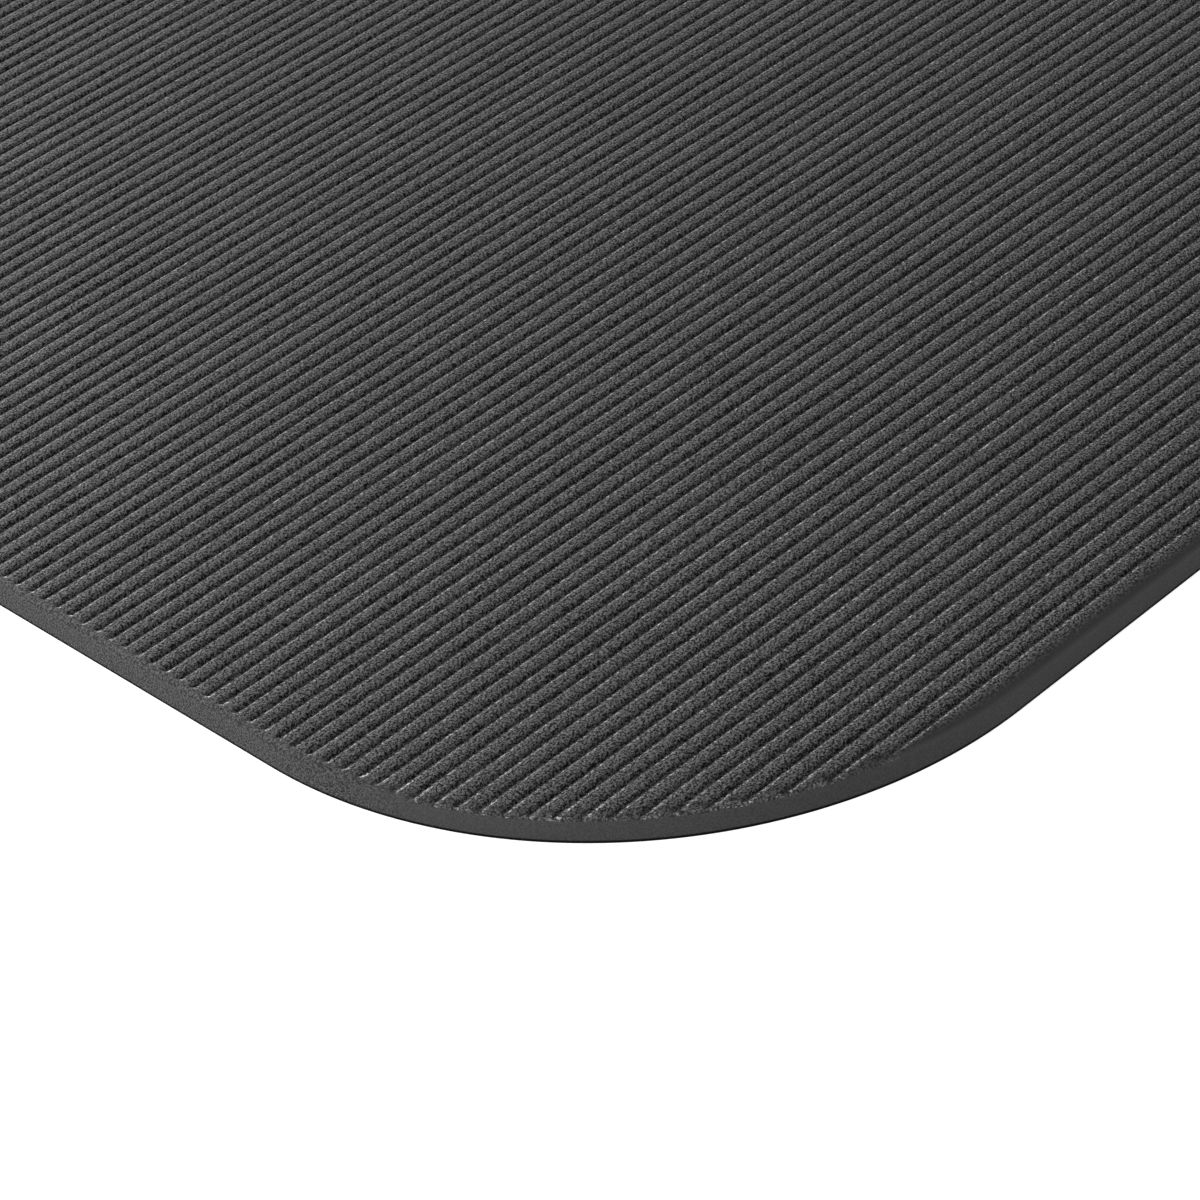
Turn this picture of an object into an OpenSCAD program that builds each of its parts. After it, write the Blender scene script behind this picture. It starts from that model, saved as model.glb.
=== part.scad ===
// Ribbed anti-fatigue mat: a bonded stack of a ribbed cover, a foam core and a
// base skin, with a smooth band around the side of the core. Millimetres, +Z up.
// The origin is the middle of the underside. The ribs run along X.

/* [Mat] */
// Length, along the ribs
mat_l = 914; // [600:1:1500]
// Width, across the ribs
mat_w = 610; // [450:1:900]
// Thickness, up to the rib crests
mat_t = 9.5; // [8:0.5:20]
// Radius of the four corners, seen from above
corner_r = 135; // [40:1:200]

/* [Ribs] */
// Width of a rib's flat crest
crest_w = 2.5; // [1.5:0.1:5]
// Width of a groove at the level of the crests
groove_w = 3; // [1.6:0.1:4]
// Width of a groove's flat floor
groove_floor_w = 0.6; // [0.3:0.1:1.2]
// Depth of a groove
groove_d = 1.2; // [0.5:0.1:1.8]
// Least land between the last groove and the border, beside the long edges
side_land = 3.5; // [0.5:0.5:20]
// Flat land between the rounded rim and the grooves
rim_land = 0.2; // [0.1:0.1:5]

/* [Layers] */
// Cover left under a groove's floor
web_t = 1; // [0.6:0.1:2]
// Radius of the cover's rounded rim
rim_r = 2; // [0.5:0.1:2.2]
// Least height of the cover's upright lip, under its rounded rim
lip_t = 0.1; // [0.1:0.1:0.5]
// Thickness of the base skin
base_t = 0.8; // [0.5:0.1:2]
// Radius of the base skin's lower edge
base_edge_r = 0.4; // [0.1:0.1:0.4]
// Thickness of the band around the core
band_t = 1.5; // [0.8:0.1:4]

/* [Hidden] */
$fn = 96;
cover_t = web_t + groove_d;
core_t = mat_t - base_t - cover_t;
core_z = base_t;
cover_z = core_z + core_t;
rim_fillet = min(rim_r, cover_t - lip_t);
border_w = rim_fillet + rim_land;
rib_pitch = crest_w + groove_w;
last_groove_reach = mat_w / 2 - border_w - side_land - groove_w / 2;
grooves_each_side = floor(last_groove_reach / rib_pitch);
// Straight pieces in a rounded edge, in a rib's shoulder and in the ramp at a groove's end
edge_steps = 5;
shoulder_steps = 3;
ramp_steps = 1;
// How far a cutting shape stands out of the surface that it cuts
cut_over = 1;
cover_grey = [0.28, 0.28, 0.28];
band_grey = [0.26, 0.26, 0.26];
core_grey = [0.2, 0.2, 0.2];
base_grey = [0.16, 0.16, 0.16];

// Points on an arc about [x, z], from one angle to another
function arc(x, z, r, from, to, steps) =
    [for (i = [0 : steps]) let (a = from + (to - from) * i / steps) [x + r * cos(a), z + r * sin(a)]];

// Outer side of a slab's section, from its low edge to its high one
function side_points(reach, t, low_r, high_r, steps) = concat(
    low_r > 0 ? arc(reach - low_r, low_r, low_r, -90, 0, steps) : [[reach, 0]],
    high_r > 0 ? arc(reach - high_r, t - high_r, high_r, 0, 90, steps) : [[reach, t]]
);

// Slab with round corners of radius r, and with its low and high edges rounded
module slab(l, w, r, t, low_r = 0, high_r = 0, steps = edge_steps) {
    module half_section()
        polygon(concat([[0, 0]], side_points(r, t, low_r, high_r, steps), [[0, t]]));
    // where the corners' centres are
    x = l / 2 - r;
    y = w / 2 - r;
    translate([-x, -y, 0]) cube([2 * x, 2 * y, t]);
    for (turn = [0, 180]) rotate(turn) {
        translate([x, y, 0]) {
            rotate([90, 0, 0]) linear_extrude(2 * y) half_section();
            rotate_extrude(angle = 90) half_section();
        }
        translate([-x, y, 0]) {
            rotate([90, 0, 90]) linear_extrude(2 * x) half_section();
            rotate(90) rotate_extrude(angle = 90) half_section();
        }
    }
}

// Section of the groove between two ribs, which have round shoulders
module groove_section() {
    shoulder_w = (groove_w - groove_floor_w) / 2;
    shoulder = [for (i = [0 : shoulder_steps]) let (a = 90 * i / shoulder_steps)
        [groove_w / 2 - shoulder_w * sin(a), -groove_d * (1 - cos(a))]];
    right = concat([[groove_w / 2, cut_over]], shoulder);
    left = [for (i = [len(right) - 1 : -1 : 0]) [-right[i][0], right[i][1]]];
    polygon(concat(right, left));
}

// Room for the grooves inside the border, with sides that slope in to their floor
module ribbed_field()
    translate([0, 0, cover_t - groove_d])
        slab(mat_l - 2 * border_w, mat_w - 2 * border_w, corner_r - border_w, groove_d + cut_over,
            low_r = groove_d, steps = ramp_steps);

// Every groove, with a ramp up out of it where it meets the border
module grooves() intersection() {
    ribbed_field();
    for (k = [-grooves_each_side : grooves_each_side])
        translate([-mat_l / 2, k * rib_pitch, cover_t])
            rotate([90, 0, 90]) linear_extrude(mat_l) groove_section();
}

// Grained, ribbed skin that feet stand on
module top_cover() {
    color(cover_grey) translate([0, 0, cover_z]) difference() {
        slab(mat_l, mat_w, corner_r, cover_t, high_r = rim_fillet);
        grooves();
    }
}

// Outline of the core, which the band wraps
module core_slab(t) slab(mat_l - 2 * band_t, mat_w - 2 * band_t, corner_r - band_t, t);

// Closed-cell cushion
module foam_core() {
    color(core_grey) translate([0, 0, core_z]) core_slab(core_t);
}

// Smooth strip that wraps and seals the side of the core
module edge_band() {
    color(band_grey) translate([0, 0, core_z]) difference() {
        slab(mat_l, mat_w, corner_r, core_t);
        translate([0, 0, -cut_over]) core_slab(core_t + 2 * cut_over);
    }
}

// Skin that lies on the floor
module base_skin() {
    color(base_grey) slab(mat_l, mat_w, corner_r, base_t, low_r = base_edge_r);
}

top_cover();
foam_core();
edge_band();
base_skin();
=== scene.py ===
# %% [markdown]
# # A ribbed mat for standing on
# This notebook dresses a standing mat. The real thing is a sandwich: a grained cover with
# blind grooves, a sheet of foam, a smooth band that seals the foam's side, and a skin that
# grips the floor. The solids come from CAD and fix every size. Here each layer is modelled
# again with the finish it really has, in the same place, and nothing is made larger.

# %% Load the fixed frame
import math

import bpy
import numpy as np
from mathutils import Matrix, Vector, noise


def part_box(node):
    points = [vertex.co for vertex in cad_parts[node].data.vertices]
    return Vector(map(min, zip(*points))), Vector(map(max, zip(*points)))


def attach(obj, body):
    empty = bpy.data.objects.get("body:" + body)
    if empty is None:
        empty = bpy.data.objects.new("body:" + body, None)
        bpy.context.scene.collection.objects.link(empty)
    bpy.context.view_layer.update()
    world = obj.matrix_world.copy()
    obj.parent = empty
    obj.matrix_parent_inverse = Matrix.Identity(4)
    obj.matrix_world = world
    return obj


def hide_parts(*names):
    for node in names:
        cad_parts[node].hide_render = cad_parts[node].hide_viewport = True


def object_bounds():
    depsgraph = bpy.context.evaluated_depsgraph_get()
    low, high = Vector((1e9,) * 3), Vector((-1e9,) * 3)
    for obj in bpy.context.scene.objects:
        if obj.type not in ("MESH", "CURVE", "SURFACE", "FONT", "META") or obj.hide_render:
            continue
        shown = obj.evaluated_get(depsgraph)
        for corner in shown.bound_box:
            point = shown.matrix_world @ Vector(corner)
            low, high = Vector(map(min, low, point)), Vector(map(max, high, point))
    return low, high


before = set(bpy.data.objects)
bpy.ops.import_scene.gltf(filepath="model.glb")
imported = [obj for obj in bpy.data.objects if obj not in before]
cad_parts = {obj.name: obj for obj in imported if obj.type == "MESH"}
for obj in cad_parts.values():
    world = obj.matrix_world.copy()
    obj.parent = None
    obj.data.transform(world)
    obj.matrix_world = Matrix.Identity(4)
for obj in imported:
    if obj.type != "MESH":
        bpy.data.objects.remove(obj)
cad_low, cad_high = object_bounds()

MM = 0.001
print("CAD box in mm:", [round(v / MM, 2) for v in (*cad_low, *cad_high)])

# %% [markdown]
# ## Sizes that the layers share
# Every layer is the same rounded rectangle, so its length, width and corner radius are read
# or named once. The heights of the seams between the layers come from the CAD boxes. The
# corner radius, the pitch of the ribs and the number of grooves aren't in any box, so they
# are named here.

# %% Sizes from the frame
mat_length = cad_high.x - cad_low.x
mat_width = cad_high.y - cad_low.y
crest_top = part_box("top_cover")[1].z
cover_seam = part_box("top_cover")[0].z
base_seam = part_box("base_skin")[1].z
band_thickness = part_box("edge_band")[1].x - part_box("foam_core")[1].x
corner_radius = 135 * MM
rib_pitch = 5.5 * MM
grooves_each_side = 54
print("mat", round(mat_length / MM), "x", round(mat_width / MM), "x", round(crest_top / MM, 2), "mm")
print("seams at", round(base_seam / MM, 2), "and", round(cover_seam / MM, 2), "mm")

# %% [markdown]
# ## The camera
# A long lens from the front left looks down on the corner nearest to it. A camera can be
# turned by typing in angles, by a Track To constraint, or by building its axes from an
# azimuth, an elevation and a roll. The axes are built here, because they can be read as
# plain numbers: where it aims, how far away it stands, and how it is tipped.

# %% Place the camera
aim_from_end = 102.3 * MM
aim_from_side = 117.1 * MM
camera_distance = 1137.1 * MM
camera_azimuth = math.radians(47.892)
camera_elevation = math.radians(37.536)
camera_roll = math.radians(-6.203)
aim = Vector((cad_low.x + aim_from_end, cad_low.y + aim_from_side, 0))

look = Vector((
    math.cos(camera_elevation) * math.cos(camera_azimuth),
    math.cos(camera_elevation) * math.sin(camera_azimuth),
    -math.sin(camera_elevation),
))
level_right = look.cross(Vector((0, 0, 1))).normalized()
level_up = level_right.cross(look)
right = math.cos(camera_roll) * level_right + math.sin(camera_roll) * level_up
up = math.cos(camera_roll) * level_up - math.sin(camera_roll) * level_right

camera_data = bpy.data.cameras.new("camera")
camera_data.sensor_width = 36
camera_data.lens = 128.41
camera_data.clip_start = 0.05
camera_data.clip_end = 50
camera = bpy.data.objects.new("camera", camera_data)
bpy.context.scene.collection.objects.link(camera)
turn = Matrix((right, up, -look)).transposed().to_4x4()
camera.matrix_world = Matrix.Translation(aim - camera_distance * look) @ turn
bpy.context.scene.camera = camera
print("camera stands at", [round(v, 3) for v in camera.matrix_world.translation])

# %% [markdown]
# ## Small helpers for working by hand
# An operator acts on everything that is selected, so each step starts from nothing selected.
# Faces and edges are then picked in code by their place or their normal, as one would click
# them, and the mesh goes in and out of edit mode around the operators.

# %% Helpers
def only(piece):
    """Makes one piece the only selected and the active one."""
    if bpy.context.mode != "OBJECT":
        bpy.ops.object.mode_set(mode="OBJECT")
    bpy.ops.object.select_all(action="DESELECT")
    piece.select_set(True)
    bpy.context.view_layer.objects.active = piece


def added(name):
    """Names the primitive that was just added."""
    piece = bpy.context.object
    piece.name = name
    piece.data.name = name
    return piece


def pick(piece, kind, test):
    """Leaves edit mode with only the elements of one kind that pass a test selected."""
    bpy.ops.object.mode_set(mode="OBJECT")
    mesh = piece.data
    for group in (mesh.vertices, mesh.edges, mesh.polygons):
        group.foreach_set("select", [False] * len(group))
    chosen = [e for e in getattr(mesh, kind) if test(e)]
    for element in chosen:
        element.select = True
    kinds = ("vertices", "edges", "polygons")
    bpy.context.tool_settings.mesh_select_mode = [kind == k for k in kinds]
    bpy.ops.object.mode_set(mode="EDIT")
    return len(chosen)


def smooth(piece, degrees):
    """Shades a piece smooth and leaves edges that are sharper than an angle crisp."""
    only(piece)
    bpy.ops.object.shade_smooth_by_angle(angle=math.radians(degrees))


def say(piece):
    """Prints what a piece has come to."""
    mesh = piece.data
    mesh.calc_loop_triangles()
    heights = [v.co.z for v in mesh.vertices]
    print(
        piece.name, len(mesh.vertices), "points,", len(mesh.loop_triangles), "triangles, z",
        round(min(heights) / MM, 3), "to", round(max(heights) / MM, 3), "mm",
    )


# %% [markdown]
# ## Where a point lies on the mat
# The rim, the grooves' ends and the grain all depend on how far a point is from the mat's
# outline, and on which side it is. Two small functions answer that for whole arrays at once.
# A third gives smooth noise that is the same on every run, for the slight waviness of a
# soft sheet that came off a roller.

# %% Distance, side and noise
half_length = mat_length / 2
half_width = mat_width / 2
straight_x = half_length - corner_radius
straight_y = half_width - corner_radius


def smooth_step(low, high, value):
    """Goes smoothly from 0 at low to 1 at high."""
    share = np.clip((value - low) / (high - low), 0, 1)
    return share * share * (3 - 2 * share)


def inboard(x, y):
    """How far points lie inside the outline."""
    over_x = np.abs(x) - straight_x
    over_y = np.abs(y) - straight_y
    reach = np.hypot(np.maximum(over_x, 0), np.maximum(over_y, 0))
    return corner_radius - reach - np.minimum(np.maximum(over_x, over_y), 0)


def side_angle(x, y):
    """0 beside a short end, 90 beside a long side, and in between round a corner."""
    over_x = np.abs(x) - straight_x
    over_y = np.abs(y) - straight_y
    corner = (over_x > 0) & (over_y > 0)
    tiny = 1e-9
    angle = np.degrees(np.arctan2(np.maximum(over_y, tiny), np.maximum(over_x, tiny)))
    return np.where(corner, angle, np.where(over_x > over_y, 0.0, 90.0))


def waves(x, y, length, seed):
    """Smooth noise from about -1 to 1 whose swells are about as long as length."""
    stretch = 1.6  # the noise itself hardly goes beyond 0.6
    points = np.column_stack((np.ravel(x) / length, np.ravel(y) / length))
    values = [noise.noise(Vector((px, py, seed))) for px, py in points]
    return np.reshape(values, np.shape(x)) * stretch


print("straight part of the ends", round(2 * straight_y / MM), "mm")
print("straight part of the sides", round(2 * straight_x / MM), "mm")

# %% [markdown]
# ## The cover: a sheet with blind grooves
# The cover is embossed foam vinyl. Each groove slopes down gently on one side, whose lip is
# painted pale as a highlight, and comes up steeply on the other. It fades out just short of
# the short ends and the long sides, and runs out through the cut edge round the corners. It
# could be cut with 109 booleans, or one rib could be repeated with an Array, but neither lets
# a groove fade out along a round corner. So a Grid primitive is added and its rows are slid
# onto the lines of the rib's section: nine rows to a rib, and more beside the long sides.

# %% Rows of the cover's grid
groove_lines = np.array([-2.7, -2.25, -1.75, -1.2, -0.8, -0.2, 0.05, 0.25, 0.55]) * MM
groove_depths = np.array([0.0, 0.12, 0.36, 0.62, 0.92, 1.0, 0.4, 0.07, 0.0]) * MM
# How much of the painted lip highlight each row of a groove gets.
lip_highlight_share = np.array([0.0, 0.15, 0.9, 1.0, 0.3, 0.0, 0.0, 0.0, 0.0])
edge_steps = np.array([0, 0.12, 0.35, 0.65, 1.05, 1.5, 2.0, 2.6, 3.3, 4.4, 6.5]) * MM

near_rows = [(-half_width + step, -grooves_each_side, 0, 0) for step in edge_steps[:-1]]
far_rows = [(half_width - step, grooves_each_side, 0, 0) for step in reversed(edge_steps[:-1])]
groove_rows = [
    (number * rib_pitch + line, number, depth, lip)
    for number in range(-grooves_each_side, grooves_each_side + 1)
    for line, depth, lip in zip(groove_lines, groove_depths, lip_highlight_share)
]
row_y, row_groove, row_drop, row_lip_highlight = np.array(near_rows + groove_rows + far_rows).T
rows = len(row_y)
print(rows, "rows, of which", len(groove_rows), "make the grooves")

# %% [markdown]
# ## Columns that follow the outline
# The grid's columns follow the outline inwards in small steps, so the rim and the grooves'
# ends get close rings of points. Even columns would be simpler, but they would cut the round
# corners into stairs.

# %% Columns of the cover's grid
middle_columns = 22
outer_columns = 11
middle_reach = 280 * MM
gathered_step = 1.0 * MM


def columns_at(y):
    """Where the grid's columns cross one row, from the middle of the mat to its end."""
    over = max(abs(y) - straight_y, 0)
    reach = []
    for number, step in enumerate(edge_steps):
        radius = corner_radius - step
        if over == 0:
            reach.append(half_length - step)
        elif over < radius:
            reach.append(straight_x + math.sqrt(radius ** 2 - over ** 2))
        else:
            reach.append(straight_x - gathered_step * number)
    middle = np.linspace(0, middle_reach, middle_columns, endpoint=False)
    outer = np.linspace(middle_reach, reach[-1], outer_columns, endpoint=False)
    return np.concatenate((middle, outer, reach[::-1]))


half_rows = np.array([columns_at(y) for y in row_y])
grid_x = np.hstack((-half_rows[:, :0:-1], half_rows))
columns = grid_x.shape[1]
grid_y = np.repeat(row_y[:, None], columns, axis=1)
print("the cover's grid has", rows, "rows and", columns, "columns")

# %% [markdown]
# ## Ends, sides and corners
# The mat's edge isn't the same all round. Three weights say how much a point belongs to a
# short end, a long side or a corner, and they always add up to 1. Vertex groups could hold
# them, but as arrays they can go straight into the formulas below.

# %% Weights of the ends, sides and corners
depth_inside = inboard(grid_x, grid_y)
angle = side_angle(grid_x, grid_y)
at_end = 1 - smooth_step(8, 26, angle)  # degrees round the corner
at_side = smooth_step(62, 80, angle)
at_corner = 1 - at_end - at_side


def by_side(end, side, corner):
    """Blends a value for the ends, one for the sides and one for the corners."""
    return at_end * end + at_side * side + at_corner * corner


def ring_at(depth, width):
    """1 along a ring at a depth inside the outline, and less the further from it."""
    return np.exp(-((depth_inside - depth) / width) ** 2)


print("points round the corners:", int((at_corner > 0.5).sum()))

# %% [markdown]
# ## The cover's relief
# The height of each point is the crest height, less the groove, less the rim. The rim is a
# small round at the short ends, a wide soft roll along the sides, where the sheet was
# pressed thinner, and nearly a bare cut edge with a ragged burr round the corners. Sculpting
# it by hand would do, but formulas keep all four sides alike.

# %% The rim
rim_width = by_side(end=2.4, side=3.1, corner=0.35) * MM
rim_height = by_side(end=1.0, side=1.6, corner=0.4) * MM
rim_power = by_side(end=2.0, side=1.4, corner=2.0)  # 2 is a quarter of an ellipse
share = np.clip(1 - depth_inside / rim_width, 0, 1)
rim_drop = rim_height * (1 - (1 - share ** rim_power) ** (1 / rim_power))

corner_slump = 0.55 * MM
corner_slump_reach = 1.9 * MM
side_slump = 0.5 * MM
side_slump_reach = 7.0 * MM
slump = at_corner * corner_slump * np.exp(-depth_inside / corner_slump_reach)
slump += at_side * side_slump * np.clip(1 - depth_inside / side_slump_reach, 0, 1) ** 2

burr_width = 0.3 * MM
burr_height = 0.24 * MM
ragged = waves(grid_x, grid_y, length=2.6 * MM, seed=9.2)
burr = at_corner * ring_at(0, burr_width) * burr_height * (1 + ragged)
print("the rim drops by up to", round(rim_drop.max() / MM, 2), "mm")

# %% [markdown]
# ## The grooves
# A groove wanders a little from its line and varies in depth, as embossing in a soft sheet
# does. Its depth fades out near the ends and sides. Round the corners the fade starts
# outside the mat, so the grooves are cut through there.

# %% Grooves and final heights
fade_start = by_side(end=1.9, side=0.6, corner=-5.0) * MM
fade_end = by_side(end=3.4, side=4.8, corner=2.8) * MM
fade = smooth_step(fade_start, fade_end, depth_inside)

# In the noise the grooves lie much further apart, so that no two are alike.
groove_number = np.repeat(row_groove[:, None], columns, axis=1)
wander_width = 0.16 * MM
wander_apart = groove_number * 29.6 * MM
wander = waves(grid_x, wander_apart, length=34 * MM, seed=1.3) * wander_width
wander *= smooth_step(1.5 * MM, 6 * MM, depth_inside)
uneven_share = 0.1
uneven_apart = groove_number * 23.2 * MM
uneven = 1 + uneven_share * waves(grid_x, uneven_apart, length=45 * MM, seed=7.7)
groove_drop = np.repeat(row_drop[:, None], columns, axis=1) * fade * uneven

swell_height = 0.05 * MM
least_cover = 0.08 * MM
swell = (waves(grid_x, grid_y, length=90 * MM, seed=4.1) - 1) * swell_height
grid_z = crest_top - groove_drop - rim_drop - slump + swell + burr
grid_z = np.clip(grid_z, cover_seam + least_cover, crest_top)
print("cover heights run from", round(grid_z.min() / MM, 2), "to", round(grid_z.max() / MM, 2), "mm")

# %% [markdown]
# ## The cover's mesh
# A Grid primitive lies flat with its points in even rows. Each point is told which row and
# column it is in, and is moved to the place worked out above. Typing in a mesh from lists of
# points and faces would do the same, but the primitive already has its faces in order.

# %% Add the grid and slide its points
bpy.ops.object.select_all(action="DESELECT")
bpy.ops.mesh.primitive_grid_add(
    x_subdivisions=columns - 1, y_subdivisions=rows - 1, size=2, calc_uvs=False, location=(0, 0, 0)
)
cover = added("cover")
flat = np.zeros(len(cover.data.vertices) * 3)
cover.data.vertices.foreach_get("co", flat)
flat = flat.reshape(-1, 3)
column_of = np.rint((flat[:, 0] + 1) / 2 * (columns - 1)).astype(int)
row_of = np.rint((flat[:, 1] + 1) / 2 * (rows - 1)).astype(int)
placed = np.column_stack((
    grid_x[row_of, column_of],
    (grid_y + wander)[row_of, column_of],
    grid_z[row_of, column_of],
))
cover.data.vertices.foreach_set("co", placed.ravel())
cover.data.update()
say(cover)

# %% [markdown]
# ## Masks for the cover's finish
# The finish has to know where the grooves, the lips' painted highlight and the smooth border
# with its painted shade are. The same arrays know it, so they are stored on the points as four
# attributes. A painted map could hold them too, but it would have to be unwrapped and would
# blur at this scale. The painted lip highlight hooks round where a groove fades out, and the
# edge of a round corner gets a ragged painted highlight too, so both are added to it here.

# %% Work out the masks
# The lips get a painted highlight, with a bright hook where each groove fades out, and the corners' cut
# edge gets a ragged painted highlight.
hook_depth = 3.0 * MM
end_hook_highlight = 3.2 * at_end * ring_at(hook_depth, width=0.8 * MM)
corner_hook_highlight = 0.7 * at_corner * ring_at(hook_depth, width=1.6 * MM)
lip_highlight_fade = fade + end_hook_highlight + corner_hook_highlight
painted_lip_highlight = np.repeat(row_lip_highlight[:, None], columns, axis=1) * lip_highlight_fade
corner_edge_highlight = np.clip(0.1 + 0.7 * ragged, 0, 0.8)
painted_lip_highlight += at_corner * ring_at(0, width=0.22 * MM) * corner_edge_highlight

# The border's grey is painted darker from a millimetre or so inside the edge as painted shade, and
# darkest in a ring round the corners.
end_grey_and_shade = 0.48 - 0.1 * smooth_step(0, 1.2 * MM, depth_inside)
side_grey_and_shade = 0.56 - 0.22 * smooth_step(0, 1.1 * MM, depth_inside)
corner_grey_and_shade = 0.33 - 0.22 * ring_at(1.6 * MM, width=0.9 * MM)
border_grey_and_shade = by_side(end_grey_and_shade, side_grey_and_shade, corner_grey_and_shade)
# Round the corners the grain gives way to that painted shade.
corner_dip = at_corner * ring_at(1.4 * MM, width=1.0 * MM)
ribbed = np.maximum(fade, 0.6 * at_end) * (1 - 0.45 * corner_dip)
print("the border's tone runs from", round(border_grey_and_shade.min(), 2), "to", round(border_grey_and_shade.max(), 2))

# %% Store the masks on the mesh
masks = {
    "ribbed": ribbed,
    "grooved": groove_drop / groove_depths.max(),
    "painted_lip_highlight": painted_lip_highlight,
    "border_grey_and_shade": border_grey_and_shade,
}
for mask_name, values in masks.items():
    attribute = cover.data.attributes.new(mask_name, "FLOAT", "POINT")
    attribute.data.foreach_set("value", values[row_of, column_of].astype(np.float32))
    print(mask_name, "runs from", round(values.min(), 2), "to", round(values.max(), 2))

# %% [markdown]
# ## The cover's side and underside
# The grid is an open sheet. Its outline is extruded and squashed flat onto the seam, and one
# face closes it. Solidify could thicken it, but it would copy the grooves to the underside.

# %% Close the cover's side and underside
only(cover)
bpy.ops.object.mode_set(mode="EDIT")
bpy.ops.mesh.select_all(action="SELECT")
bpy.ops.mesh.region_to_loop()
bpy.ops.mesh.extrude_edges_move()
bpy.ops.transform.resize(value=(1, 1, 0), center_override=(0, 0, cover_seam))
bpy.ops.mesh.edge_face_add()
bpy.ops.mesh.select_all(action="SELECT")
bpy.ops.mesh.normals_make_consistent(inside=False)
bpy.ops.object.mode_set(mode="OBJECT")
smooth(cover, degrees=52)
say(cover)

# %% [markdown]
# ## The band round the side
# The band is a strip of smooth vinyl wrapped round the foam. A curve with a bevel could make
# it, but a cube is quicker here: bevel its four upright edges to the corner radius, take away
# its top and bottom, and give what is left its thickness with Solidify.

# %% Rounded slabs
corner_pieces = 56


def rounded_slab(name, low_z, high_z, inset=0.0):
    """A cube at its size with its four upright edges rounded."""
    bpy.ops.object.select_all(action="DESELECT")
    bpy.ops.mesh.primitive_cube_add(size=1, location=(0, 0, (low_z + high_z) / 2))
    piece = added(name)
    piece.scale = (mat_length - 2 * inset, mat_width - 2 * inset, high_z - low_z)
    bpy.ops.object.transform_apply(location=True, rotation=True, scale=True)
    points = piece.data.vertices

    def upright(edge):
        a, b = (points[i].co for i in edge.vertices)
        return abs(a.z - b.z) > (high_z - low_z) / 2

    pick(piece, "edges", upright)
    bpy.ops.mesh.bevel(
        offset=corner_radius - inset, segments=corner_pieces, profile=0.5,
        affect="EDGES", clamp_overlap=False,
    )
    bpy.ops.object.mode_set(mode="OBJECT")
    return piece


def flat_face(face):
    """Whether a face is level, as a slab's top and bottom are."""
    return abs(face.normal.z) > 0.9


print("a round corner has", corner_pieces, "pieces")

# %% Model the band
band = rounded_slab("band", base_seam, cover_seam)
pick(band, "polygons", flat_face)
bpy.ops.mesh.delete(type="FACE")
only(band)
wall = band.modifiers.new("wall", "SOLIDIFY")
wall.thickness = band_thickness
wall.offset = -1
wall.use_even_offset = True
bpy.ops.object.modifier_apply(modifier=wall.name)
smooth(band, degrees=40)
say(band)

# %% [markdown]
# ## The foam cushion
# The cushion is a sheet of closed-cell foam. Nothing of it shows on a finished mat, but it is
# the reason for the mat, so it is a piece of its own: a rounded slab that fills the room
# inside the band. A plain cube would poke through the corners. Its top and bottom are inset,
# so that the border, which the band holds, has its own ring of faces.

# %% Model the cushion
held_border = 6 * MM
cushion = rounded_slab("cushion", base_seam, cover_seam, inset=band_thickness)
pick(cushion, "polygons", flat_face)
bpy.ops.mesh.inset(thickness=held_border)
bpy.ops.object.mode_set(mode="OBJECT")
smooth(cushion, degrees=40)
say(cushion)

# %% [markdown]
# ## The grip skin underneath
# The underside lies on the floor and must not creep. It is embossed with small shallow pads.
# They could be bump only, but then the mesh would be a bare sheet, so the slab's underside is
# sunk by the height of a pad, bisected into cells, and every whole cell is inset and pushed
# back down, all in one go.

# %% Round the lower edge and sink the underside
skin_margin = 3 * MM
lower_edge = 0.4 * MM
pad_relief = 0.25 * MM
sunk_step = 0.3 * MM
on_floor = 0.001 * MM
big_face = 0.1  # square metres; only the whole underside is larger

grip_skin = rounded_slab("grip_skin", 0, base_seam)
points = grip_skin.data.vertices
rim_edges = pick(grip_skin, "edges", lambda edge: all(points[i].co.z < on_floor for i in edge.vertices))
bpy.ops.mesh.bevel(offset=lower_edge, segments=4, profile=0.5, affect="EDGES", clamp_overlap=False)


def faces_down(face):
    """Whether a face looks straight down."""
    return face.normal.z < -0.999


pick(grip_skin, "polygons", lambda face: faces_down(face) and face.area > big_face)
bpy.ops.mesh.inset(thickness=skin_margin - lower_edge)
bpy.ops.mesh.inset(thickness=sunk_step, depth=-pad_relief)
print(rim_edges, "rim edges eased")

# %% Cut the underside into cells and push the pads out
pads_along = 76
pads_across = 50
pad_length = (mat_length - 2 * skin_margin) / pads_along
pad_width = (mat_width - 2 * skin_margin) / pads_across
pad_slope = 1.1 * MM

bpy.ops.mesh.hide(unselected=True)
cuts = [(0, (i - pads_along / 2) * pad_length) for i in range(1, pads_along)]
cuts += [(1, (i - pads_across / 2) * pad_width) for i in range(1, pads_across)]
for axis, cut_at in cuts:
    plane = [0, 0, 0]
    plane[axis] = cut_at
    normal = [0, 0, 0]
    normal[axis] = 1
    bpy.ops.mesh.select_all(action="SELECT")
    bpy.ops.mesh.bisect(plane_co=plane, plane_no=normal)
bpy.ops.mesh.reveal(select=False)
whole_cell = 0.9 * pad_length * pad_width
pads = pick(
    grip_skin, "polygons",
    lambda face: faces_down(face) and whole_cell < face.area < 2 * whole_cell,
)
bpy.ops.mesh.inset(thickness=pad_slope, depth=pad_relief, use_individual=True)
bpy.ops.object.mode_set(mode="OBJECT")
smooth(grip_skin, degrees=30)
print(pads, "pads")
say(grip_skin)

# %% [markdown]
# ## Helpers for nodes
# A material is a tree of nodes. Nodes can be added and joined by hand in the Shader Editor,
# and these helpers do the same with one line a node. The last one sets a finished tree out
# in columns, so that it can be read when it is opened there.

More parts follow.
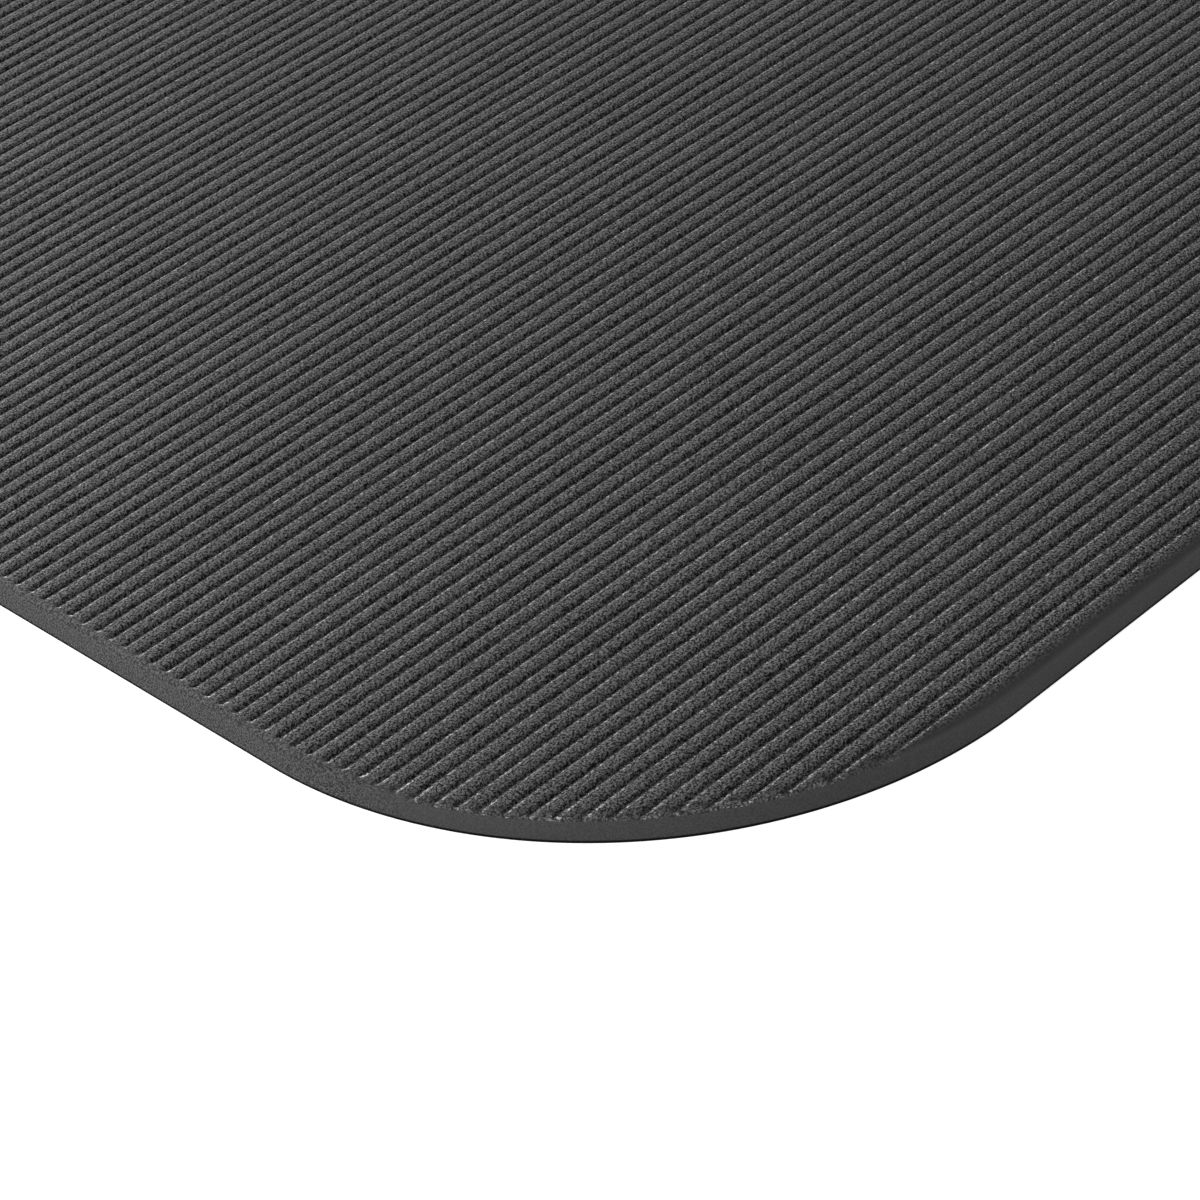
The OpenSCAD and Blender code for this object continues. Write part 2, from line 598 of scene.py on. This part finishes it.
# %% Helpers for nodes
def make_group(name, inputs, outputs):
    """An empty shader node group with a Vector and some numbers going in, and numbers out."""
    group = bpy.data.node_groups.new(name, "ShaderNodeTree")
    group.interface.new_socket("Vector", in_out="INPUT", socket_type="NodeSocketVector")
    for label in inputs:
        group.interface.new_socket(label, in_out="INPUT", socket_type="NodeSocketFloat")
    for label in outputs:
        group.interface.new_socket(label, in_out="OUTPUT", socket_type="NodeSocketFloat")
    start = group.nodes.new("NodeGroupInput")
    end = group.nodes.new("NodeGroupOutput")
    return group, start, end


def put(tree, kind, **settings):
    """Adds a node. A setting is one of its properties or, if it has none, an input's value."""
    node = tree.nodes.new("ShaderNode" + kind)
    for name, value in settings.items():
        if hasattr(node, name):
            setattr(node, name, value)
        else:
            node.inputs[name.replace("_", " ")].default_value = value
    return node


def maths(tree, operation, a, b, c=0.0):
    """A Math node between sockets or numbers. Only Multiply Add uses the third."""
    node = put(tree, "Math", operation=operation)
    for slot, value in enumerate((a, b, c)):
        if isinstance(value, (int, float)):
            node.inputs[slot].default_value = value
        else:
            tree.links.new(value, node.inputs[slot])
    return node.outputs[0]


def ramp(tree, value, start, end, low=0.0, high=1.0):
    """A Map Range node that goes from low to high while a value goes from start to end."""
    node = put(tree, "MapRange", From_Min=start, From_Max=end, To_Min=low, To_Max=high)
    tree.links.new(value, node.inputs["Value"])
    return node.outputs["Result"]


def blend(tree, share, a, b):
    """A Mix node that goes from a to b as the share goes from 0 to 1."""
    node = put(tree, "Mix", data_type="FLOAT", clamp_factor=True)
    tree.links.new(share, node.inputs[0])
    if isinstance(a, float):
        node.inputs[2].default_value = a
    else:
        tree.links.new(a, node.inputs[2])
    tree.links.new(b, node.inputs[3])
    return node.outputs[0]


def lay_out(tree):
    """Sets the nodes out in columns, each to the left of what it feeds."""
    column_width = 220
    row_height = 200
    column = {node.name: 0 for node in tree.nodes}
    for _ in tree.nodes:
        for link in tree.links:
            feeder, fed = link.from_node.name, link.to_node.name
            column[feeder] = max(column[feeder], column[fed] + 1)
    filled = {}
    for node in tree.nodes:
        number = column[node.name]
        row = filled.get(number, 0)
        node.location = (-column_width * number, -row_height * row)
        filled[number] = row + 1


# %% [markdown]
# ## Grain, sheen and cells as shader groups
# Vinyl is never one flat grey. Three effects are shared by the materials, so each is built
# once as a node group. A group gives only heights and masks. The Principled shader, which
# turns them into a surface, stays in each material.
#
# The first is a leather-like grain, which the vinyl takes from the roller that presses it:
# small pale blobs with pits between them. An image of leather would do, but noise never
# repeats.

# %% Leather-like grain
grain, start, end = make_group("vinyl_grain", ["Cells per metre"], ["Height", "Fleck"])
cells_per_metre = start.outputs["Cells per metre"]
pit_share = 0.6
pits_to_blobs = 0.6
blobs = put(grain, "TexNoise", Detail=2.0, Roughness=0.6, Distortion=0.4)
pits = put(grain, "TexVoronoi", feature="SMOOTH_F1", Smoothness=0.4)
for texture in (blobs, pits):
    grain.links.new(start.outputs["Vector"], texture.inputs["Vector"])
grain.links.new(cells_per_metre, blobs.inputs["Scale"])
pits_per_metre = maths(grain, "MULTIPLY", cells_per_metre, pits_to_blobs)
grain.links.new(pits_per_metre, pits.inputs["Scale"])
pit_height = maths(grain, "MULTIPLY", pits.outputs["Distance"], pit_share)
height = maths(grain, "ADD", blobs.outputs["Fac"], pit_height)
fleck = ramp(grain, blobs.outputs["Fac"], start=0.43, end=0.58)
grain.links.new(height, end.inputs["Height"])
grain.links.new(fleck, end.inputs["Fleck"])
lay_out(grain)
print("the grain has", len(grain.nodes), "nodes")

# %% [markdown]
# ### Uneven sheen
# Handling and washing leave a sheet a little glossier in some places than in others. A slow
# noise sets the roughness between a least and a most. One even roughness would look moulded.

# %% Uneven sheen
sheen, start, end = make_group("uneven_sheen", ["Least", "Most"], ["Roughness"])
patches = put(sheen, "TexNoise", Scale=14.0, Detail=4.0, Roughness=0.55)
spread = put(sheen, "MapRange", From_Min=0.3, From_Max=0.7)
sheen.links.new(start.outputs["Vector"], patches.inputs["Vector"])
sheen.links.new(patches.outputs["Fac"], spread.inputs["Value"])
sheen.links.new(start.outputs["Least"], spread.inputs["To Min"])
sheen.links.new(start.outputs["Most"], spread.inputs["To Max"])
sheen.links.new(spread.outputs["Result"], end.inputs["Roughness"])
lay_out(sheen)
print("the sheen has", len(sheen.nodes), "nodes")

# %% [markdown]
# ### Closed cells
# Foam is a mass of bubbles with thin walls. A Voronoi texture's distance to the nearest edge
# is small on the walls, so a ramp over it draws them. Noise would give blobs without walls.

# %% Closed cells
cells, start, end = make_group("closed_cells", ["Cells per metre"], ["Wall"])
wall_width = 0.12
bubbles = put(cells, "TexVoronoi", feature="DISTANCE_TO_EDGE")
cells.links.new(start.outputs["Vector"], bubbles.inputs["Vector"])
cells.links.new(start.outputs["Cells per metre"], bubbles.inputs["Scale"])
cell_wall = ramp(cells, bubbles.outputs["Distance"], start=0.0, end=wall_width, low=1.0, high=0.0)
cells.links.new(cell_wall, end.inputs["Wall"])
lay_out(cells)
print("the cells have", len(cells.nodes), "nodes")

# %% [markdown]
# ## The finishes
# Each material reads Object coordinates, so nothing stretches and no map has to be unwrapped.
# The Bump node's distance is one millimetre, so heights and depths are in millimetres. The
# four finishes start and end alike: the first of these helpers adds the sheen, and the last
# one mixes two greys and bumps the surface. In between, each finish adds its own grain.

# %% Helpers for a finish
def start_finish(name, piece, least_rough, most_rough, specular):
    """A material with an uneven sheen on a piece."""
    material = bpy.data.materials.new(name)
    material.use_nodes = True
    tree = material.node_tree
    shader = tree.nodes["Principled BSDF"]
    shader.inputs["Specular IOR Level"].default_value = specular
    place = put(tree, "TexCoord").outputs["Object"]
    uneven = put(tree, "Group", node_tree=sheen, Least=least_rough, Most=most_rough)
    tree.links.new(place, uneven.inputs["Vector"])
    tree.links.new(uneven.outputs["Roughness"], shader.inputs["Roughness"])
    piece.data.materials.clear()
    piece.data.materials.append(material)
    return tree, shader, place


def stored(tree, mask_name):
    """A mask that is stored on the mesh."""
    return put(tree, "Attribute", attribute_name=mask_name).outputs["Fac"]


def add_pattern(tree, place, group, cells_per_metre):
    """Adds the grain or the cells at a number of cells to the metre."""
    pattern = put(tree, "Group", node_tree=group, Cells_per_metre=cells_per_metre)
    tree.links.new(place, pattern.inputs["Vector"])
    return pattern


def end_finish(tree, shader, shade, height, dark, light):
    """Mixes two greys by a shade from 0 to 1 and bumps the surface by a height."""
    tint = put(tree, "Mix", data_type="RGBA", clamp_factor=False)
    tint.inputs[6].default_value = (dark, dark, dark, 1)
    tint.inputs[7].default_value = (light, light, light, 1)
    tree.links.new(shade, tint.inputs[0])
    tree.links.new(tint.outputs[2], shader.inputs["Base Color"])
    bump = put(tree, "Bump", Strength=1.0, Distance=MM)
    tree.links.new(height, bump.inputs["Height"])
    tree.links.new(bump.outputs["Normal"], shader.inputs["Normal"])
    lay_out(tree)


# %% [markdown]
# ### The cover
# Ribbed vinyl is a coarse grain of dark pits and pale crumbs. The masks steer it: painted shade
# darkens the grain in a ragged line along each groove, a painted highlight of pale crumbs lies
# along the lips, and the grain gives way to the border's flat grey with its painted shade. A
# picture of vinyl laid over the mat would be easier, but it would repeat and bring its own light.

# %% Cover: grain, torn grooves and rubbed lips
tree, shader, place = start_finish(
    "ribbed_charcoal_vinyl", cover, least_rough=0.5, most_rough=0.62, specular=0.05
)
ribbed_mask = stored(tree, "ribbed")
groove_mask = stored(tree, "grooved")
lip_highlight_mask = stored(tree, "painted_lip_highlight")
border_grey_and_shade_mask = stored(tree, "border_grey_and_shade")
grained = add_pattern(tree, place, grain, cells_per_metre=1600)
crumbs = put(tree, "TexNoise", Scale=900, Detail=2.0, Roughness=0.6)
tree.links.new(place, crumbs.inputs["Vector"])
crumb = crumbs.outputs["Fac"]

# Painted shade: the grain is painted darker in a ragged line along each groove.
crumb_in_groove_shade = 3.0
groove_shade_line = maths(tree, "MULTIPLY_ADD", crumb, crumb_in_groove_shade, groove_mask)
painted_groove_shade = ramp(tree, groove_shade_line, start=2.3, end=2.75, low=1.0, high=0.3)
shaded_grain = maths(tree, "MULTIPLY", grained.outputs["Fleck"], painted_groove_shade)
# Painted highlight: pale crumbs along the lips.
highlight_crumbs = ramp(tree, crumb, start=0.45, end=0.66, low=0.1, high=2.4)
highlight_flecks = ramp(tree, grained.outputs["Fleck"], start=0.3, end=1.0, low=0.1, high=2.3)
flecked_lip_highlight = maths(tree, "MULTIPLY", lip_highlight_mask, highlight_flecks)
lip_highlight_tint = maths(tree, "MULTIPLY", flecked_lip_highlight, highlight_crumbs)
calm = blend(tree, ribbed_mask, border_grey_and_shade_mask, shaded_grain)
shade = maths(tree, "ADD", calm, lip_highlight_tint)
print("the cover's grain and wear take", len(tree.nodes), "nodes")

# %% [markdown]
# The pale grains also get a thin coat, because they stand proud and are polished by feet, and
# the lips under the painted highlight get more of it. The fine grain is pressed half a millimetre
# deep at most, and a coarser crumb is added to it, deepest in the grooves. A Displacement could
# carry the grain too, but the mesh would need a hundred times the points.

# %% Cover: coat and depth
coat_on_grain = 0.45
polish = ramp(tree, crumb, start=0.4, end=0.62, low=0.0, high=0.6)
lip_gloss = maths(tree, "MULTIPLY", polish, lip_highlight_mask)
grain_gloss = maths(tree, "MULTIPLY", calm, coat_on_grain)
tree.links.new(maths(tree, "ADD", lip_gloss, grain_gloss), shader.inputs["Coat Weight"])
shader.inputs["Coat Roughness"].default_value = 0.4

border_depth = 0.05
ribbed_depth = 0.5
fine_depth = maths(tree, "MULTIPLY_ADD", ribbed_mask, ribbed_depth, border_depth)
fine_height = maths(tree, "MULTIPLY", grained.outputs["Height"], fine_depth)
crest_crumb = 0.25
groove_crumb = 0.9
crumb_depth = maths(tree, "MULTIPLY_ADD", groove_mask, groove_crumb, crest_crumb)
coarse_depth = maths(tree, "MULTIPLY", ribbed_mask, crumb_depth)
coarse_height = maths(tree, "MULTIPLY", crumb, coarse_depth)
height = maths(tree, "ADD", fine_height, coarse_height)
end_finish(tree, shader, shade, height, dark=0.003, light=0.108)
print("the cover's finish has", len(tree.nodes), "nodes")

# %% [markdown]
# ### The band
# The band is the same vinyl, but smooth. Its long sides and corners are nearly plain, and
# more of the grain comes through at the two short ends, so a ramp along the mat's length
# sets the contrast. Its lowest half millimetre is painted dark as a contact shadow at the
# joint with the grip skin.
# Two materials on a split mesh could do this, but a ramp leaves no line between them.

# %% Band finish
tree, shader, place = start_finish(
    "smooth_band_vinyl", band, least_rough=0.45, most_rough=0.55, specular=0.07
)
grained = add_pattern(tree, place, grain, cells_per_metre=2000)
axes = put(tree, "SeparateXYZ")
tree.links.new(place, axes.inputs[0])
along = maths(tree, "ABSOLUTE", axes.outputs["X"], 0.0)
near_end = half_length - 8 * MM
at_the_end = half_length - 2 * MM
contrast = ramp(tree, along, start=near_end, end=at_the_end, low=0.2, high=0.8)
middle_grey = 0.5
flecked = blend(tree, contrast, middle_grey, grained.outputs["Fleck"])
# Painted contact shadow: the band is painted darker towards the grip skin.
contact_shadow_bottom = base_seam + 0.15 * MM
contact_shadow_top = base_seam + 0.45 * MM
painted_contact_shadow = ramp(tree, axes.outputs["Z"], start=contact_shadow_bottom, end=contact_shadow_top, low=0.03, high=1.0)
shade = maths(tree, "MULTIPLY", flecked, painted_contact_shadow)
grain_depth = 0.5
relief = maths(tree, "MULTIPLY", contrast, grain_depth)
height = maths(tree, "MULTIPLY", grained.outputs["Height"], relief)
end_finish(tree, shader, shade, height, dark=0.0, light=0.134)
print("the band's finish has", len(tree.nodes), "nodes")

# %% [markdown]
# ### The foam
# Closed-cell foam is dull and dark, with fine cell walls. They could be modelled one by one,
# but at less than a millimetre a cell, a pattern in the finish is enough.

# %% Foam finish
tree, shader, place = start_finish(
    "closed_cell_foam", cushion, least_rough=0.8, most_rough=0.92, specular=0.5
)
celled = add_pattern(tree, place, cells, cells_per_metre=1400)
shade = celled.outputs["Wall"]
wall_height = 0.12
height = maths(tree, "MULTIPLY", celled.outputs["Wall"], wall_height)
end_finish(tree, shader, shade, height, dark=0.026, light=0.042)
print("the foam's finish has", len(tree.nodes), "nodes")

# %% [markdown]
# ### The grip skin
# The skin is a dark rubber. From the side only its edge shows, as a thin line under the band
# that is painted near-black as a contact shadow, so it is the darkest and least shiny of the
# four. Underneath, the channels between the pads are painted darker than the pads, as shade.
# Height alone tells the three apart, so a ramp on Z does what three materials would.

# %% Grip skin finish
tree, shader, place = start_finish(
    "grip_skin_rubber", grip_skin, least_rough=0.75, most_rough=0.88, specular=0.02
)
grained = add_pattern(tree, place, grain, cells_per_metre=1100)
axes = put(tree, "SeparateXYZ")
tree.links.new(place, axes.inputs[0])
above_channels = pad_relief + 0.2 * MM
# Painted shade: darker with height above the floor, in the channels between the pads and darkest as a
# contact shadow on the edge.
painted_shade_by_height = ramp(tree, axes.outputs["Z"], start=0.0, end=above_channels, low=1.0, high=0.0)
shade = maths(tree, "MULTIPLY", grained.outputs["Fleck"], painted_shade_by_height)
grain_depth = 0.1
height = maths(tree, "MULTIPLY", grained.outputs["Height"], grain_depth)
end_finish(tree, shader, shade, height, dark=0.006, light=0.05)
print("the grip skin's finish has", len(tree.nodes), "nodes")

# %% [markdown]
# ## The floor
# The mat lies on a plain white floor. The floor's own colour is a plain pale one. A glow is
# added to it that only the camera and reflections see, so it shows white and yet lights
# nothing, and its shadow is kept, because the glow is added to the shaded floor and doesn't
# replace it. A brighter lamp would whiten the floor too, but it would wash out the mat.

# %% Floor
white = (1, 1, 1, 1)
floor_grey = 0.8
floor_glow = 0.78
floor_gap = 0.02 * MM


def seen(tree):
    """1 for rays from the camera, a reflection or something clear, and 0 for the rest."""
    rays = put(tree, "LightPath").outputs
    seen_or_glossy = maths(tree, "MAXIMUM", rays["Is Camera Ray"], rays["Is Glossy Ray"])
    return maths(tree, "MAXIMUM", seen_or_glossy, rays["Is Transmission Ray"])


bpy.ops.object.select_all(action="DESELECT")
bpy.ops.mesh.primitive_plane_add(size=30, location=(0, 0, -floor_gap))
floor = added("floor")
floor_finish = bpy.data.materials.new("white_floor")
floor_finish.use_nodes = True
tree = floor_finish.node_tree
tree.nodes.clear()
matt = put(tree, "BsdfDiffuse", Color=(floor_grey, floor_grey, floor_grey, 1))
lift = put(tree, "Emission", Color=white)
tree.links.new(maths(tree, "MULTIPLY", seen(tree), floor_glow), lift.inputs["Strength"])
both = put(tree, "AddShader")
tree.links.new(matt.outputs[0], both.inputs[0])
tree.links.new(lift.outputs[0], both.inputs[1])
surface = put(tree, "OutputMaterial")
tree.links.new(both.outputs[0], surface.inputs["Surface"])
lay_out(tree)
floor.data.materials.append(floor_finish)
print("the floor lies at z", round(floor.location.z / MM, 3), "mm")

# %% [markdown]
# ## The sky
# The sky is a plain white world at a plain level. Like the floor, it looks whiter to the
# camera and to reflections than it is to the surfaces it lights.

# %% Sky
sky_level = 0.29
world = bpy.data.worlds.new("soft_white_room")
bpy.context.scene.world = world
world.use_nodes = True
tree = world.node_tree
tree.nodes.clear()
level = ramp(tree, seen(tree), start=0.0, end=1.0, low=sky_level, high=1.0)
sky = put(tree, "Background", Color=white)
tree.links.new(level, sky.inputs["Strength"])
surface = put(tree, "OutputWorld")
tree.links.new(sky.outputs[0], surface.inputs["Surface"])
lay_out(tree)
print("the sky lights the mat at", sky_level)

# %% [markdown]
# ## Two soft lamps
# A large key lamp stands low beyond the far long side and grazes the ribs, so the gentle
# slope of each groove catches the light and its steep wall stays dark. A small, weak lamp
# beyond the left end fills in the band there and lets the light fall off along the mat. A
# sun lamp would be simpler, but its hard light would draw a line along every rib.

# %% Lamps
def soft_lamp(name, azimuth, elevation, distance, width, height, watts):
    """A rectangular lamp that looks at the mat's middle from an azimuth and a height."""
    a, e = math.radians(azimuth), math.radians(elevation)
    away = Vector((math.cos(e) * math.cos(a), math.cos(e) * math.sin(a), math.sin(e)))
    data = bpy.data.lights.new(name, "AREA")
    data.shape = "RECTANGLE"
    data.size = width
    data.size_y = height
    data.energy = watts
    lamp = bpy.data.objects.new(name, data)
    bpy.context.scene.collection.objects.link(lamp)
    lamp.location = away * distance
    lamp.rotation_mode = "QUATERNION"
    lamp.rotation_quaternion = away.to_track_quat("Z", "Y")
    print(name, "at", [round(v, 2) for v in lamp.location], "with", watts, "W")


soft_lamp("key_lamp", azimuth=97, elevation=22, distance=2.3, width=1.53, height=0.77, watts=63.2)
soft_lamp("fill_lamp", azimuth=188, elevation=30, distance=1.5, width=0.9, height=0.6, watts=8.4)
bpy.context.scene.view_settings.view_transform = "Standard"

# %% [markdown]
# ## Tie the pieces to the frame
# Every piece rides on the part's only body, because nothing on a mat moves. Each one stands
# in for the CAD layer of its own.

# %% Ride and replace
for piece, node, slot in (
    (cover, "top_cover", "cover"),
    (band, "edge_band", "band"),
    (cushion, "foam_core", "foam"),
    (grip_skin, "base_skin", "base"),
):
    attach(piece, "root")
    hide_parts(node)
    print(piece.name, "stands for", node)
